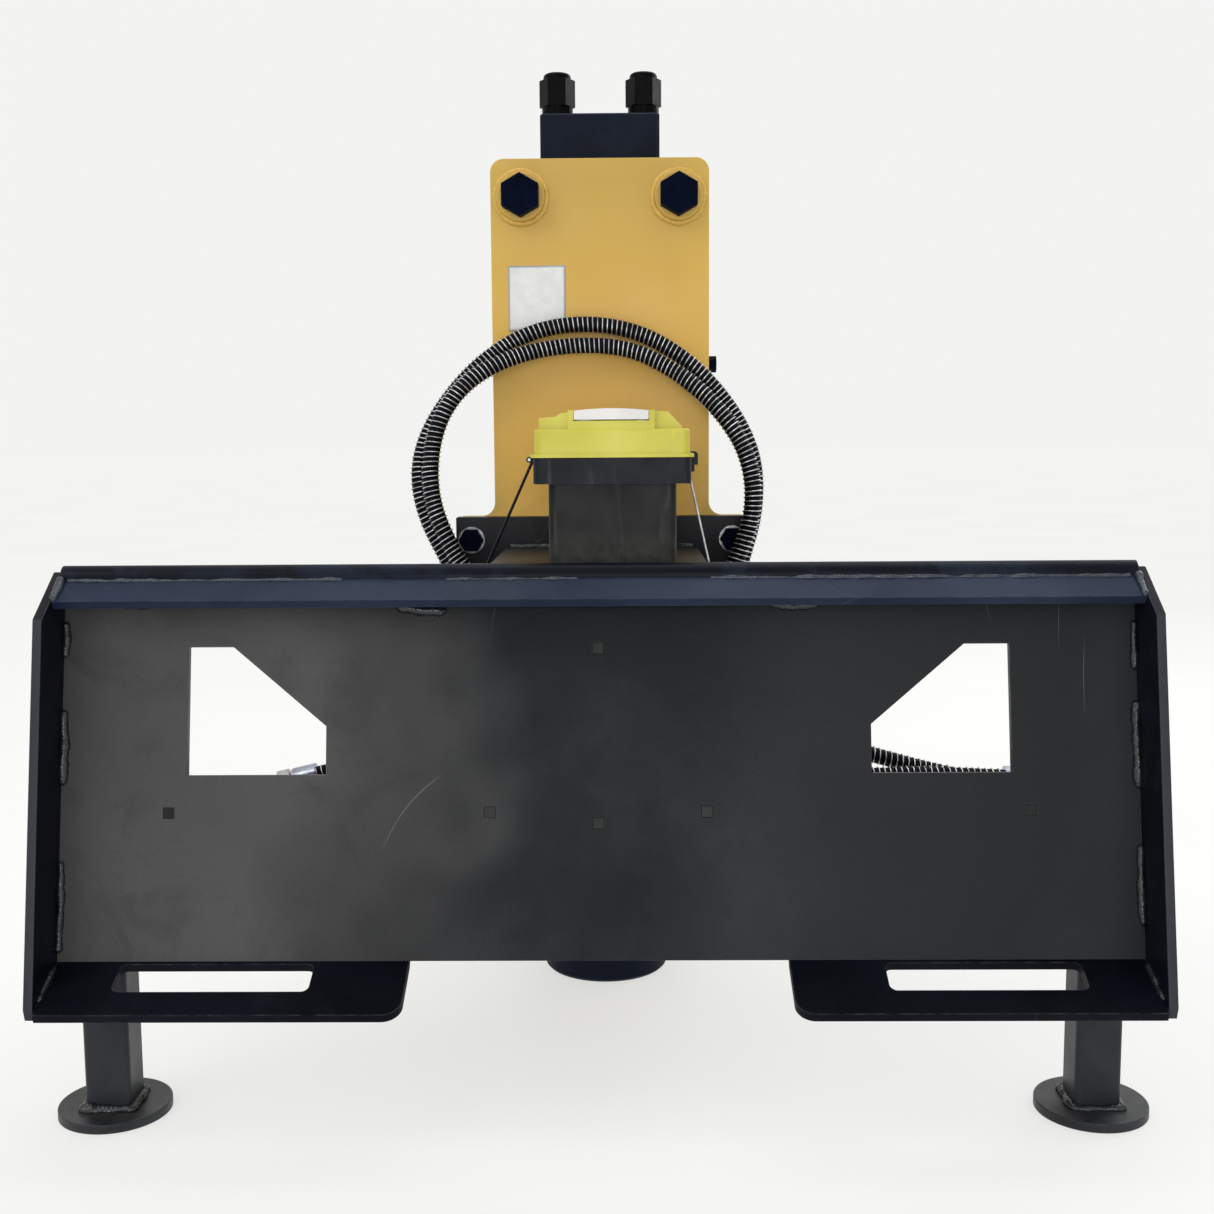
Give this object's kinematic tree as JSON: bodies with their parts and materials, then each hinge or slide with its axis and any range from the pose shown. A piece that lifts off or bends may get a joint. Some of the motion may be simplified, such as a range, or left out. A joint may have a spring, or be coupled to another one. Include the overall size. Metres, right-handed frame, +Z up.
{
  "type": "hydraulic breaker attachment",
  "caption": "Skid-steer hydraulic breaker without its tool: attach plate on a foot stand, upright breaker in bolted side plates, strapped parts box and two spring-guarded hoses.",
  "frame": {"origin": "on the ground, at the centre of the footprint of everything but the hoses", "axes": "+Z up along the breaker, +Y from the attach plate towards the breaker, +X to the right as seen from the loader"},
  "size_m": [1.202, 0.7711, 1.2155],
  "materials": {
    "yellow_paint": "semi-gloss ochre yellow enamel, slightly dusty",
    "frame_black": "semi-gloss charcoal enamel with fine orange peel",
    "body_black": "satin blue-black enamel on cast and machined housings",
    "zinc": "bright zinc plate",
    "dark_steel": "ground and hardened steel, oiled",
    "black_bolt": "black oxide",
    "bronze": "machined bronze",
    "brass_fit": "bright brass",
    "seal_rubber": "matt",
    "hose_rubber": "satin black hose cover under a bright spring guard",
    "box_plastic": "grained dark polypropylene",
    "lid_plastic": "grained yellow polypropylene",
    "cover_plastic": "milky translucent polypropylene",
    "cap_plastic": "soft plastic plug",
    "wire": "bright wire"
  },
  "bodies": {
    "breaker_unit": {"adjuster_plug": "black_bolt", "attach_plate": "frame_black", "back_head": "body_black", "bolt_bosses": "yellow_paint", "bracket_bolts": "black_bolt", "bracket_nuts": "black_bolt", "bracket_plate": "frame_black", "bracket_washers": "zinc", "cylinder": "body_black", "dust_seal": "seal_rubber", "end_plate_left": "frame_black", "end_plate_right": "frame_black", "foot_disc_left": "frame_black", "foot_disc_right": "frame_black", "front_head": "body_black", "gas_valve": "zinc", "grease_nipple": "brass_fit", "gusset_left": "frame_black", "gusset_right": "frame_black", "hold_down_tie_left": "black_bolt", "hold_down_tie_right": "wire", "hook_bar": "frame_black", "hose_a": "hose_rubber", "hose_b": "hose_rubber", "hose_end_caps": "cap_plastic", "hose_ferrules": "zinc", "hose_nuts": "zinc", "leg_left": "frame_black", "leg_right": "frame_black", "lip_left": "frame_black", "lip_right": "frame_black", "lower_bush": "bronze", "lower_tie_plate": "frame_black", "piston_seals": "seal_rubber", "port_adapters": "zinc", "retaining_pin_plugs": "seal_rubber", "retaining_pins": "dark_steel", "side_bolt_nuts": "black_bolt", "side_bolts": "black_bolt", "side_plate_front": "yellow_paint", "side_plate_rear": "yellow_paint", "spacer_tubes": "body_black", "square_plugs": "frame_black", "through_bolts": "black_bolt", "toolbox_base": "box_plastic", "toolbox_hinge_pins": "dark_steel", "toolbox_shelf": "frame_black", "upper_bush": "bronze", "valve_cover": "body_black", "valve_cover_bolts": "black_bolt", "valve_housing": "body_black"},
    "piston_body": {"piston": "dark_steel"},
    "spool_body": {"valve_spool": "dark_steel"},
    "lid_body": {"toolbox_lid": "lid_plastic"},
    "cover_near_body": {"organiser_cover_near": "cover_plastic"},
    "cover_far_body": {"organiser_cover_far": "cover_plastic"},
    "handle_body": {"toolbox_handle": "lid_plastic"},
    "latch_body": {"toolbox_latch": "black_bolt"},
    "port_cap_left_body": {"port_cap_left": "black_bolt"},
    "port_cap_right_body": {"port_cap_right": "black_bolt"}
  },
  "joints": [
    {"name": "piston_stroke", "type": "slide", "parent": "breaker_unit", "child": "piston_body", "axis": [0, 0, 1], "range_m": [0, 0.06]},
    {"name": "spool_stroke", "type": "slide", "parent": "breaker_unit", "child": "spool_body", "axis": [0, 0, 1], "range_m": [0, 0.012]},
    {"name": "toolbox_lid_hinge", "type": "hinge", "parent": "breaker_unit", "child": "lid_body", "pos_m": [-0.0752, -0.07745, 0.715], "axis": [0, -1, 0], "range_deg": [0, 100]},
    {"name": "organiser_near_hinge", "type": "hinge", "parent": "lid_body", "child": "cover_near_body", "pos_m": [0.016, -0.11795, 0.7635], "axis": [-1, 0, 0], "range_deg": [0, 95]},
    {"name": "organiser_far_hinge", "type": "hinge", "parent": "lid_body", "child": "cover_far_body", "pos_m": [0.016, -0.03695, 0.7635], "axis": [1, 0, 0], "range_deg": [0, 95]},
    {"name": "toolbox_handle_hinge", "type": "hinge", "parent": "lid_body", "child": "handle_body", "pos_m": [-0.004, -0.07745, 0.757], "axis": [0, -1, 0], "range_deg": [0, 90]},
    {"name": "toolbox_latch_hinge", "type": "hinge", "parent": "breaker_unit", "child": "latch_body", "pos_m": [0.107, -0.07745, 0.702], "axis": [0, 1, 0], "range_deg": [0, 80]},
    {"name": "port_cap_left_lift", "type": "slide", "parent": "breaker_unit", "child": "port_cap_left_body", "axis": [0, 0, 1], "range_m": [0, 0.04]},
    {"name": "port_cap_right_lift", "type": "slide", "parent": "breaker_unit", "child": "port_cap_right_body", "axis": [0, 0, 1], "range_m": [0, 0.04]}
  ]
}
